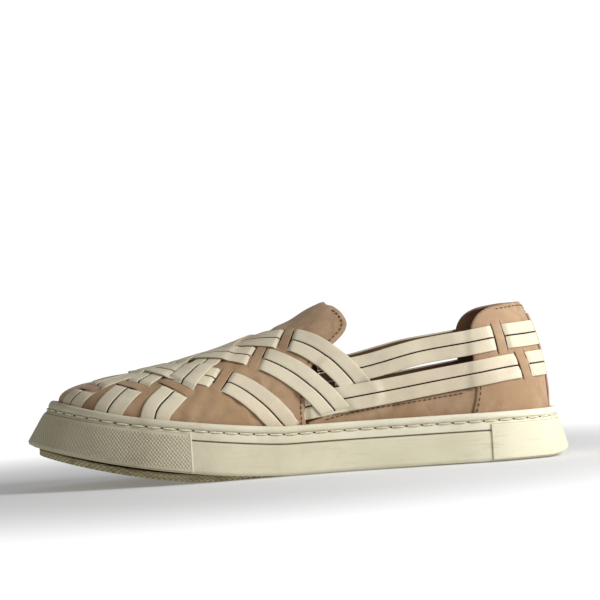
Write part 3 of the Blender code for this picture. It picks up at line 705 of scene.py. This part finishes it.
def ribbon(rows, width, lift_at, thickness, offset=0.0, step=1.3 * MM, narrowed=0.0):
    """Points, faces and edge shares of a strip on the last. lift_at gives its top's height at points."""
    _, path, length = centre_line(rows)
    count = max(int(length / step), 6)
    shares = np.linspace(0, 1, count + 1)
    q, w = path(shares).T
    before, after = path(np.maximum(shares - 0.01, 0)).T, path(np.minimum(shares + 0.01, 1)).T
    along, over, normal = last_frame(q, np.clip(w, 0.03, 1.97))
    heading = last(*after) - last(*before)
    sideways = unit(np.cross(normal, heading))
    a, b, c = (along**2).sum(1), (along * over).sum(1), (over**2).sum(1)
    d, e = (along * sideways).sum(1), (over * sideways).sum(1)
    size = a * c - b * b
    move_q, move_w = (c * d - b * e) / size, (a * e - b * d) / size
    profile = np.array(ROUNDED)
    widths = width * (1 - narrowed * np.abs(2 * shares - 1) ** 3)
    reach = profile[None, :, 0] * widths[:, None] + offset
    grid_q = (q[:, None] + move_q[:, None] * reach).ravel()
    grid_w = np.clip(w[:, None] + move_w[:, None] * reach, -RIM_TUCK, 2 + RIM_TUCK).ravel()
    ground = last(grid_q, grid_w)
    out = last_frame(grid_q, grid_w)[2]
    height = lift_at(ground) + np.tile(profile[:, 1] * thickness, count + 1)
    points = ground + out * height[:, None]
    faces = grid_faces(count + 1, len(profile), wrap_columns=True)
    faces = [face[::-1] for face in faces]
    size = len(profile)
    faces += [tuple(range(size)), tuple(range(count * size, (count + 1) * size))[::-1]]
    return points, faces, np.tile(ROUND_EDGE, count + 1)


def joined(name, parts, materials, slots=None):
    """One piece from several (points, faces, edge) parts. slots gives each part's material."""
    points, faces, edges, kinds = [], [], [], []
    total = 0
    for number, (part_points, part_faces, part_edge) in enumerate(parts):
        points.append(part_points)
        edges.append(part_edge)
        faces += [tuple(v + total for v in face) for face in part_faces]
        kind = slots[number] if slots else 0
        kinds += kind if isinstance(kind, list) else [kind] * len(part_faces)
        total += len(part_points)
    return mesh_piece(name, np.concatenate(points), faces, materials, np.concatenate(edges), kinds)


LINES = {}
for side in (INNER, OUTER):
    for number, rows in WOVEN_STRAPS.items():
        LINES["woven", number, side] = centre_line(mirrored(rows, side))[0]
    for label, rows in SIDE_STRAPS.items():
        LINES[label, 0, side] = centre_line(mirrored(rows, side))[0]
    for label, rows in BRIDGES.items():
        LINES["bridge", label, side] = centre_line(mirrored(rows, side), 40)[0]
VAMP_LINE, QUARTER_LINE = edge_run(VAMP_EDGE)[::-1], edge_run(QUARTER_EDGE)[::-1]


def past_vamp_edge(points):
    """1 in front of the vamp's rear edge, 0 from 3 mm behind it."""
    edge = np.interp(points[:, 2], VAMP_LINE[:, 1], VAMP_LINE[:, 0])
    return smoothstep((points[:, 0] - edge + 3.0 * MM) / (2.6 * MM))


def past_quarter_edge(points):
    """1 below the quarter's upper edge, 0 from 1.6 mm over it."""
    edge = np.interp(points[:, 0], QUARTER_LINE[:, 0], QUARTER_LINE[:, 1])
    return smoothstep((edge - points[:, 2] + 1.6 * MM) / (2.2 * MM))


def counter_rise(points):
    """The height of the counter over the last, from its front edge back."""
    return COUNTER_LIFT * smoothstep((-86.5 * MM - points[:, 0]) / (4.5 * MM))


def woven_over(number, side):
    """The straps that this one passes over, as lines with half widths: over and under in turn."""
    over = []
    for other in WOVEN_STRAPS:
        inner_over = (number + other) % 2 == 0
        if inner_over == (side == INNER):
            over.append((LINES["woven", other, -side], PAIR_HALF))
    if number == 2:
        over.append((LINES["lower", 0, -side], SIDE_PAIR_HALF))
    if number == 3:
        over.append((LINES["upper", 0, -side], SIDE_PAIR_HALF))
    return over


def strap_lift(over, bridge_lines, ends=(), hidden=None):
    """Height of a strap's top: up over other straps, down under bridges and behind a panel's edge."""
    def lift_at(points):
        lift = np.full(len(points), STRAP_TOP)
        for line, half in over:
            lift += STRAP_THICK * near(points, line, half, 4.5 * MM)
        for place, half, ramp, drop in ends:
            lift -= drop * near(points, place, half, ramp)
        for line in bridge_lines:
            lift += (STRAP_SUNK - lift) * near(points, line, 2.7 * MM, 1.9 * MM)
        if hidden is not None:
            lift += (STRAP_SUNK - lift) * hidden(points)
        return lift + counter_rise(points) + 0.08 * MM * np.sin(waves(points, 240.0, 180.0, -160.0))
    return lift_at


def woven_strap(number, side):
    rows = mirrored(WOVEN_STRAPS[number], side)
    labels = [label for label in BRIDGES if "counter" not in label]
    bridges = [LINES["bridge", label, each] for label in labels for each in (INNER, OUTER)]
    centre = LINES["woven", number, side]
    mine = [line for line in bridges if line_gap(centre, line).min() < 2.5 * MM]
    ends = [(centre[-1:], 3.5 * MM, 6 * MM, 1.6 * MM)] if number == 3 else []

    def behind_quarter(points):
        return past_quarter_edge(points) * (np.sign(points[:, 1]) == -side)

    return rows, strap_lift(woven_over(number, side), mine, ends, behind_quarter if number == 2 else None)


def side_strap(label, side):
    rows = mirrored(SIDE_STRAPS[label], side)
    bridge = LINES["bridge", "counter_top" if label == "upper" else "counter_low", side]
    over = [(LINES["woven", 3, -side], PAIR_HALF)] if label == "lower" else []
    return rows, strap_lift(over, [bridge], (), past_vamp_edge)


def pair_parts(rows, lift_at, width):
    """Two strands, and a near-black sheet under the slit between them: painted shade in the slit."""
    shift = (width + STRAND_SLIT) / 2
    strands = [ribbon(rows, width, lift_at, STRAP_THICK, offset) for offset in (-shift, shift)]
    # A near-black sheet just under the strands' tops: painted shade in the slit
    slit_shade = ribbon(rows, 1.6 * MM, lambda points: lift_at(points) - 0.28 * MM, 0.7 * MM)
    return strands, slit_shade


def build_straps():
    for side, side_name in SIDES:
        groups = [(f"strap_{n}_{side_name}", STRAND_WIDTH, woven_strap(n, side)) for n in WOVEN_STRAPS]
        for label in SIDE_STRAPS:
            groups.append((f"{label}_strap_{side_name}", SIDE_STRAND_WIDTH, side_strap(label, side)))
        for name, width, (rows, lift_at) in groups:
            strands, slit_shade = pair_parts(rows, lift_at, width)
            columns = len(ROUNDED)
            backs = [2 if number % columns >= columns - 2 else 0 for number in range(len(strands[0][1]))]
            piece = joined(name, strands + [slit_shade], [IVORY, SHADOW, LINING], [backs, backs, 1])
            dress(piece, "tan_leather", "upper")


def build_bridges():
    """Leather bands that the straps pass under, nearly flush with the panel, with near-black sheets beside
    them: painted shade in the slots.
    """
    for side, side_name in SIDES:
        parts, slots = [], []
        for ends in BRIDGES.values():
            rows = mirrored(ends, side)
            line, _path, length = centre_line(rows, 40)
            q, w = np.array(rows).T
            extra = 3.0 * MM / length
            longer = [(q[0] - (q[1] - q[0]) * extra, w[0] - (w[1] - w[0]) * extra),
                      (q[1] + (q[1] - q[0]) * extra, w[1] + (w[1] - w[0]) * extra)]
            middle = line.mean(0)[None]
            reach = length / 2

            def bridge_top(points, middle=middle, reach=reach):
                away = np.linalg.norm(points - middle, axis=1)
                rise = smoothstep((reach + 2.6 * MM - away) / (5.0 * MM))
                return -0.25 * MM + (BRIDGE_TOP + 0.25 * MM) * rise + counter_rise(points)

            def slot_shade_top(points, middle=middle, reach=reach):
                away = np.linalg.norm(points - middle, axis=1)
                rise = 0.14 * MM * smoothstep((reach + 0.5 * MM - away) / MM)
                return rise - 0.02 * MM + counter_rise(points)

            step = 0.8 * MM
            parts.append(ribbon(longer, BRIDGE_WIDTH, bridge_top, MM, step=step, narrowed=-0.25))
            # A wider near-black sheet under each band: painted shade in the slots beside it
            parts.append(ribbon(rows, BRIDGE_WIDTH + 2 * MM, slot_shade_top, MM / 2, step=step, narrowed=0.22))
            slots += [0, 1]
        dress(joined(f"bridges_{side_name}", parts, [TAN, SHADOW], slots), "tan_leather")


def build_back_strip():
    rows = ((0.0, -0.04), (0.0, 0.1), (0.0, 0.22), (0.0, 0.36))

    def strip_top(points):
        return np.full(len(points), 1.45 * MM) + 0.35 * MM * smoothstep((points[:, 2] - RIM_HEIGHT) / 0.01)

    body = ribbon(rows, BACK_STRIP_WIDTH, strip_top, 1.3 * MM)
    # A wider near-black sheet under the strip: painted shade along its edges
    shade = ribbon(rows, BACK_STRIP_WIDTH + 1.6 * MM, lambda points: strip_top(points) - 0.65 * MM, 0.5 * MM)
    dress(joined("back_strip", [body, shade], [TAN, SHADOW], [0, 1]), "tan_leather")


# Lines on the last from side-view points
def find_on_last(side_points, side):
    """Places on the last whose side view is at these points."""
    q, w = np.meshgrid(np.linspace(0, 1, 260), np.linspace(0, 1, 140), indexing="ij")
    q, w = q.ravel(), w.ravel() if side == INNER else 2 - w.ravel()
    field = last(q, w)[:, (0, 2)]
    nearest = [int(((field - point) ** 2).sum(1).argmin()) for point in side_points]
    q, w = q[nearest], w[nearest]
    for _ in range(8):
        miss = last(q, w)[:, (0, 2)] - side_points
        along, over, _normal = last_frame(q, w)
        a, b, c, d = along[:, 0], over[:, 0], along[:, 2], over[:, 2]
        size = a * d - b * c
        size = np.where(np.abs(size) < 1e-4, 1e-4, size)
        q = q - np.clip((d * miss[:, 0] - b * miss[:, 1]) / size, -0.01, 0.01)
        w = w - np.clip((a * miss[:, 1] - c * miss[:, 0]) / size, -0.01, 0.01)
        q = np.clip(q, 0, 1)
        w = np.clip(w, -0.02, 0.999) if side == INNER else np.clip(w, 1.001, 2.02)
    return q, w


def between(at, keys, rows):
    """The rows of points at other shares along them."""
    return np.stack([np.interp(at, keys, rows[:, k]) for k in range(3)], axis=1)


def tube(points, radius, sides):
    """A closed tube along points."""
    heading = unit(np.gradient(points, axis=0))
    aside = unit(np.cross(heading, np.array((0.31, 0.17, 0.93))))
    up = np.cross(heading, aside)
    turn = np.arange(sides) * 2 * math.pi / sides
    ring = aside[:, None] * np.cos(turn)[None, :, None] + up[:, None] * np.sin(turn)[None, :, None]
    around = points[:, None] + ring * np.broadcast_to(radius, (len(points),))[:, None, None]
    faces = grid_faces(len(points), sides, wrap_columns=True)
    faces += [tuple(range(sides))[::-1], tuple(range((len(points) - 1) * sides, len(points) * sides))]
    return around.reshape(-1, 3), faces, np.zeros(len(points) * sides)


def stitch_row(points, normals, pitch, length, radius, sunk=0.25):
    """Short thread lengths along a line, each bowed a little out of the surface."""
    keys, total = chord_shares(points)
    count = max(int(total / pitch), 1)
    parts = []
    for i in range(count):
        middle = (i + 0.5) / count
        spread = np.linspace(-0.5, 0.5, 7) * length / total
        at = np.clip(middle + spread, 0, 1)
        line, out = between(at, keys, points), between(at, keys, normals)
        bow = np.cos(np.linspace(-0.5, 0.5, 7) * math.pi) ** 0.6
        line = line + out * ((bow - sunk) * radius)[:, None]
        parts.append(tube(line, radius * np.array((0.45, 0.85, 1, 1, 1, 0.85, 0.45)), 6))
    return parts


def side_line(rows, side, inset, lift, first, last_share, count=220):
    """A line on the last beside a panel's edge, moved inwards, with its normals."""
    line = edge_run(rows, count)
    span = slice(int(first * count), int(last_share * count))
    step = unit(np.gradient(line, axis=0))
    moved = line + np.stack([step[:, 1], -step[:, 0]], axis=1) * inset
    q, w = find_on_last(moved[span], side)
    normal = last_frame(q, w)[2]
    return last(q, w) + normal * lift, normal


def build_leather_stitches():
    rows = (
        (VAMP_EDGE, -2.3 * MM, 0.0, 0.1, 0.93),
        (QUARTER_EDGE, -2.2 * MM, 0.0, 0.16, 0.86),
        (COUNTER_EDGE, -2.2 * MM, 0.9 * MM, 0.1, 0.3),
        (COUNTER_EDGE, -2.2 * MM, 0.9 * MM, 0.58, 0.86),
    )
    for side, side_name in SIDES:
        parts = []
        for edge, inset, lift, first, end in rows:
            points, normals = side_line(edge, side, inset, lift, first, end)
            parts += stitch_row(points, normals, 2.7 * MM, 1.9 * MM, 0.27 * MM)
        dress(joined(f"leather_stitches_{side_name}", parts, [DARK_THREAD]), "tan_leather")


# The sole
def loop_stations(count):
    shares = (1 - np.cos(np.pi * np.arange(count + 1) / count)) / 2
    return [(s, INNER) for s in shares] + [(s, OUTER) for s in shares[-2:0:-1]]


def ring(loop, inset, height):
    """Points round the sole for a loop of stations. height takes x."""
    stations = np.array([s for s, _ in loop])
    sides = np.array([side for _, side in loop])
    points = np.zeros((len(loop), 3))
    for side in (INNER, OUTER):
        mask = sides == side
        points[mask, :2] = outline(stations[mask], side, inset)
    points[:, 2] = height(points[:, 0])
    return leaned(points)


def arc(centre, radius, start, end, count=5):
    turn = np.radians(np.linspace(start, end, count))
    return [(centre[0] + radius * math.cos(t), centre[1] + radius * math.sin(t)) for t in turn]


def build_midsole():
    count = 180
    loop = loop_stations(count)
    rows = [(9 * MM, "low", 0.0), (4 * MM, "low", 0.0)]
    rows += [(x, "low", z) for x, z in arc((LIP_ROUND, LIP_ROUND), LIP_ROUND, 270, 180, 8)]
    rows += [(0.0, "low", 4.5 * MM), (0.0, "high", -4 * MM), (0.0, "high", -2 * MM)]
    rows += [(x, "high", z) for x, z in arc((MM, -MM), MM, 180, 90)]
    rows += [(6 * MM, "high", 0.0)]
    rings = []
    for inset, level, shift in rows:
        def height(x, level=level, shift=shift):
            return shift + (lip_height(x) if level == "low" else rim_height(x) - BAND_HEIGHT)
        rings.append(ring(loop, inset, height))
    size = len(loop)
    faces = grid_faces(len(rows), size, wrap_columns=True)
    for start, turned in ((0, False), ((len(rows) - 1) * size, True)):
        for i in range(1, count - 1):
            face = (start + i, start + i + 1, start + size - i - 1, start + size - i)
            faces.append(face[::-1] if turned else face)
    # The wall's top, tucked under the rim band, is darkened through the edge attribute: painted shade under
    # the band
    edge = np.zeros((len(rows), size))
    for k, (inset, level, shift) in enumerate(rows):
        if level == "high" and shift > -1.1 * MM:
            edge[k] = 0.7 if inset > 0.2 * MM else 0.2
    piece = mesh_piece("sole_wall", np.concatenate(rings), faces, [RUBBER], edge, sharp=50)
    return dress(piece, "sole_rubber", "midsole")


def build_rim():
    """The band round the upper, with a bead at its top and a channel for the stitches."""
    loop = loop_stations(200)
    rows = [(4.45, 9.1), (1.2, 9.1)]
    rows += [(0.7 - 0.7 * math.sin(t), 8.4 + 0.7 * math.cos(t)) for t in np.linspace(0.2, math.pi / 2, 5)]
    rows += [
        (0.0, 7.0), (0.0, 5.6), (0.06, 5.1), (0.42, 4.85), (0.55, 4.3), (0.42, 3.75), (0.1, 3.55),
        (-0.1, 3.3), (-0.45, 2.9), (-0.68, 2.3), (-0.72, 1.6), (-0.6, 0.9), (-0.25, 0.35), (0.3, 0.05),
        (1.0, 0.0), (1.9, 0.15), (2.8, 0.6), (3.6, 1.1), (4.45, 1.5),
    ]
    edge = np.zeros((len(rows), len(loop)))
    rings = []
    for k, (inset, drop) in enumerate(rows):
        rings.append(ring(loop, inset * MM, lambda x, drop=drop: rim_height(x) - drop * MM))
        # The stitch channel, the band's underside and its inner top are darkened through the edge attribute:
        # painted shade in the channel, under the band and where it meets the upper
        if 3.4 < drop < 5.0:
            edge[k] = 0.45
        if drop > 8.8 or inset > 2.5:
            edge[k] = 0.8
    faces = grid_faces(len(rows), len(loop), wrap_rows=True, wrap_columns=True)
    piece = mesh_piece("sole_rim", np.concatenate(rings), faces, [RIM_RUBBER], edge)
    return dress(piece, "welt_rubber", "welt")


def build_rim_stitches():
    loop = loop_stations(300)
    loop.append(loop[0])
    insets = (0.3 * MM, -0.7 * MM)
    points, further = (ring(loop, inset, lambda x: rim_height(x) - 4.3 * MM) for inset in insets)
    normals = unit(further - points)
    parts = stitch_row(points, normals, RIM_STITCH_PITCH, 6.6 * MM, 0.52 * MM, 0.1)
    dress(joined("rim_stitches", parts, [CREAM_THREAD]), "welt_rubber")
    keys, total = chord_shares(points)
    # Near-black tubes sunk in the stitch channel at each stitch: painted shade in the stitch holes
    sunk = points - normals * 0.2 * MM
    hole_shades = []
    count = int(total / RIM_STITCH_PITCH)
    for i in range(count):
        at = np.array(((i - 0.09) / count, (i + 0.09) / count)) % 1.0
        if at[0] <= at[1]:
            line = between(np.linspace(at[0], at[1], 5), keys, sunk)
            hole_shades.append(tube(line, 0.34 * MM * np.array((0.4, 0.9, 1, 0.9, 0.4)), 6))
    dress(joined("rim_stitch_hole_shades", hole_shades, [SHADOW]), "welt_rubber")


def build_bumper(name, node, end, inner_share, outer_share, knurl_side):
    """A rubber panel round one end. The knurled side has a fine diagonal net, the other faint level lines."""
    along_count, up_count = 900, 52
    t = np.linspace(-1, 1, along_count)
    stations = np.abs(end - np.abs(t) * np.where(t > 0, inner_share, outer_share))
    flat, further = np.zeros((along_count, 2)), np.zeros((along_count, 2))
    for side, mask in ((INNER, t > 0), (OUTER, t <= 0)):
        flat[mask] = outline(stations[mask], side, 0.0)
        further[mask] = outline(stations[mask], side, -1.0)
    outward = further - flat
    run = edge_lengths(flat)
    run -= np.interp(0.0, t, run)
    low = lip_height(flat[:, 0]) + 0.5 * MM
    high = rim_height(flat[:, 0]) - BUMPER_DROP
    z = low[:, None] + (high - low)[:, None] * np.linspace(0, 1, up_count)
    end_gap = np.minimum(run - run[0], run[-1] - run)[:, None]
    border = np.minimum(end_gap, np.minimum(z - low[:, None], high[:, None] - z))
    knurled = smoothstep((run * knurl_side + 12 * MM) / (10 * MM))[:, None]
    knurled = knurled * smoothstep((border - 1.2 * MM) / (0.8 * MM))
    turns = 2 * math.pi / KNURL_PITCH
    rises, falls = (np.sin(turns * (run[:, None] + slope * z)) for slope in (0.75, -0.75))
    bumps = np.clip(0.5 * (rises + falls) + 0.25, 0, 1)
    lines = np.clip(np.sin(2 * math.pi * z / (1.1 * MM)), 0.0, 1.0) * (1 - knurled)
    lines *= smoothstep((border - MM) / MM)
    ridge = np.exp(-(((end_gap - 0.9 * MM) / (0.5 * MM)) ** 2)) * (np.sign(run)[:, None] == knurl_side)
    proud = 0.85 * MM * np.sqrt(np.clip(border / (0.7 * MM), 0, 1)) - 0.12 * MM
    proud += 0.3 * MM * bumps * knurled - 0.05 * MM * lines + 0.28 * MM * ridge
    points = np.zeros((along_count, up_count, 3))
    points[:, :, :2] = flat[:, None, :] + outward[:, None, :] * proud[:, :, None]
    points[:, :, 2] = z
    back = flat - outward * 1.2 * MM
    backs = [np.concatenate([back, level[:, None]], axis=1)[:, None] for level in (low, high)]
    points = np.concatenate([backs[0], points, backs[1]], axis=1)
    faces = [face[::-1] for face in grid_faces(along_count, up_count + 2)]
    # The border seam, the back faces and the knurl hollows are darkened through the edge attribute: painted
    # shade
    seam_shade = np.exp(-((border / (0.55 * MM)) ** 2)) * np.where(ridge > 0.05, 0.3, 1.0)
    hollow_shade = np.clip(0.5 - bumps, 0, 1) * knurled * 1.3
    edge = np.pad(np.maximum(seam_shade * 0.85, hollow_shade), ((0, 0), (1, 1)), constant_values=1.0)
    piece = mesh_piece(name, leaned(points.reshape(-1, 3)), faces, [PANEL_RUBBER], edge)
    return dress(piece, "panel_rubber", node)


def build_tread_edge():
    """The tread's side, with the fine slanting ribs that run round it."""
    loop = loop_stations(450)
    run = edge_lengths(ring(loop, TREAD_INSET + 0.05 * MM, lambda x: 0 * x))
    rows = ((1.0, 0.02), (0.25, 0.25), (0.0, 0.7), (0.0, 1.6), (0.0, 2.5), (0.0, 3.4), (1.0, 3.5))
    points, edge = [], []
    for inset, level in np.array(rows) * MM:
        rib = 0.5 + 0.5 * np.sin(2 * math.pi * (run + 1.4 * level) / (2.9 * MM))
        rib = smoothstep(rib * 1.6 - 0.3)
        flat, out = (
            ring(loop, TREAD_INSET + inset - proud, lambda x, level=level: tread_height(x) + level)
            for proud in (0.0, 0.4 * MM))
        points.append(flat + (out - flat) * rib[:, None])
        # The grooves between the ribs are darkened through the edge attribute: painted shade
        edge.append(1 - rib)
    faces = grid_faces(len(rows), len(loop), wrap_columns=True)
    piece = mesh_piece("tread_ribs", np.concatenate(points), faces, [TREAD], np.concatenate(edge))
    dress(piece, "tread_rubber")


# Build
build_midsole()
build_tread_edge()
build_rim()
build_rim_stitches()
build_bumper("toe_panel", "toe_bumper", 1, 0.316, 0.304, INNER)
build_bumper("heel_panel", "heel_bumper", 0, 0.199, 0.196, OUTER)
panel("vamp_leather", VAMP_EDGE, VAMP_FIELD, 0.0, (0.36, 1.0), (210, 190))
panel("quarter_leather", QUARTER_EDGE, QUARTER_FIELD, -0.1 * MM, (0.12, 0.56), (130, 190))
panel("counter_leather", COUNTER_EDGE, COUNTER_FIELD, COUNTER_LIFT, (0.0, 0.26), (100, 210))
build_straps()
build_bridges()
build_back_strip()
build_leather_stitches()

for node, material in (("outsole", TREAD), ("insole", LINING)):
    NODES[node].data.materials.clear()
    NODES[node].data.materials.append(material)

# Floor, light and camera
floor_mesh = bpy.data.meshes.new("floor")
floor_mesh.from_pydata([(-4, -4, 0), (4, -4, 0), (4, 4, 0), (-4, 4, 0)], [], [(0, 1, 2, 3)])
floor = placed("floor", floor_mesh)
pale = Tree("pale_floor_painted_glow")
pale.shader.inputs["Emission Color"].default_value = (1.0, 1.0, 1.0, 1.0)
# The floor glows more with distance from the shoe: a painted glow that whitens the far floor, and weaker near
# the shoe, a painted soft shadow round it
away = pale.add("ShaderNodeVectorMath", operation="LENGTH")
pale.links.new(pale.place, away.inputs[0])
painted_glow = pale.range(away.outputs["Value"], 0.15, 0.55, 0.16, 0.9)
pale.links.new(painted_glow, pale.shader.inputs["Emission Strength"])
grey = pale.mix(pale.patches((3, 2), 0.3, 0.7), (0.68, 0.68, 0.68, 1), (0.65, 0.65, 0.65, 1))
floor_mesh.materials.append(pale.finish(grey, 0.9, None, 0.1))
floor.location.z = -0.0002

AMBIENT, BACKDROP = 0.22, 1.05
world = bpy.data.worlds.new("studio")
bpy.context.scene.world = world
world.use_nodes = True
backdrop = world.node_tree.nodes["Background"]
backdrop.inputs["Color"].default_value = (1.0, 1.0, 1.0, 1.0)
path = world.node_tree.nodes.new("ShaderNodeLightPath")
strength = world.node_tree.nodes.new("ShaderNodeMapRange")
strength.inputs["To Min"].default_value = AMBIENT
strength.inputs["To Max"].default_value = BACKDROP
world.node_tree.links.new(path.outputs["Is Camera Ray"], strength.inputs["Value"])
world.node_tree.links.new(strength.outputs["Result"], backdrop.inputs["Strength"])


def softbox(name, location, target, size, power):
    data = bpy.data.lights.new(name, "AREA")
    data.shape = "RECTANGLE"
    data.size, data.size_y = size
    data.energy = power
    lamp = placed(name, data)
    lamp.location = location
    lamp.rotation_mode = "QUATERNION"
    lamp.rotation_quaternion = (Vector(target) - Vector(location)).to_track_quat("-Z", "Y")


softbox("key", (-0.6, 0.34, 0.38), (-0.04, 0.02, 0.03), (0.3, 0.3), 5.6)
softbox("top", (-0.2, -0.1, 1.2), (0, 0, 0.03), (0.8, 0.8), 0.8)

AZIMUTH, ELEVATION, ROLL = math.radians(176.0), math.radians(-0.45), math.radians(3.75)
PIXEL, IMAGE_SIDE = 0.528 * MM, 600
CENTRE_RIGHT, CENTRE_UP = -1.5 * PIXEL, 171 * PIXEL
DISTANCE, SENSOR = 1.4, 36
level = math.cos(ELEVATION)
back = Vector((math.sin(AZIMUTH) * level, -math.cos(AZIMUTH) * level, math.sin(ELEVATION)))
turn = (-back).to_track_quat("-Z", "Y") @ Quaternion((0, 0, 1), -ROLL)
right, up = turn @ Vector((1, 0, 0)), turn @ Vector((0, 1, 0))
camera_data = bpy.data.cameras.new("camera")
camera_data.sensor_width = SENSOR
camera_data.lens = SENSOR * DISTANCE / (IMAGE_SIDE * PIXEL)
camera_data.clip_start, camera_data.clip_end = 0.05, 30
camera = placed("camera", camera_data)
camera.rotation_mode = "QUATERNION"
camera.rotation_quaternion = turn
camera.location = right * CENTRE_RIGHT + up * CENTRE_UP + back * DISTANCE
bpy.context.scene.camera = camera
bpy.context.scene.view_settings.view_transform = "Standard"
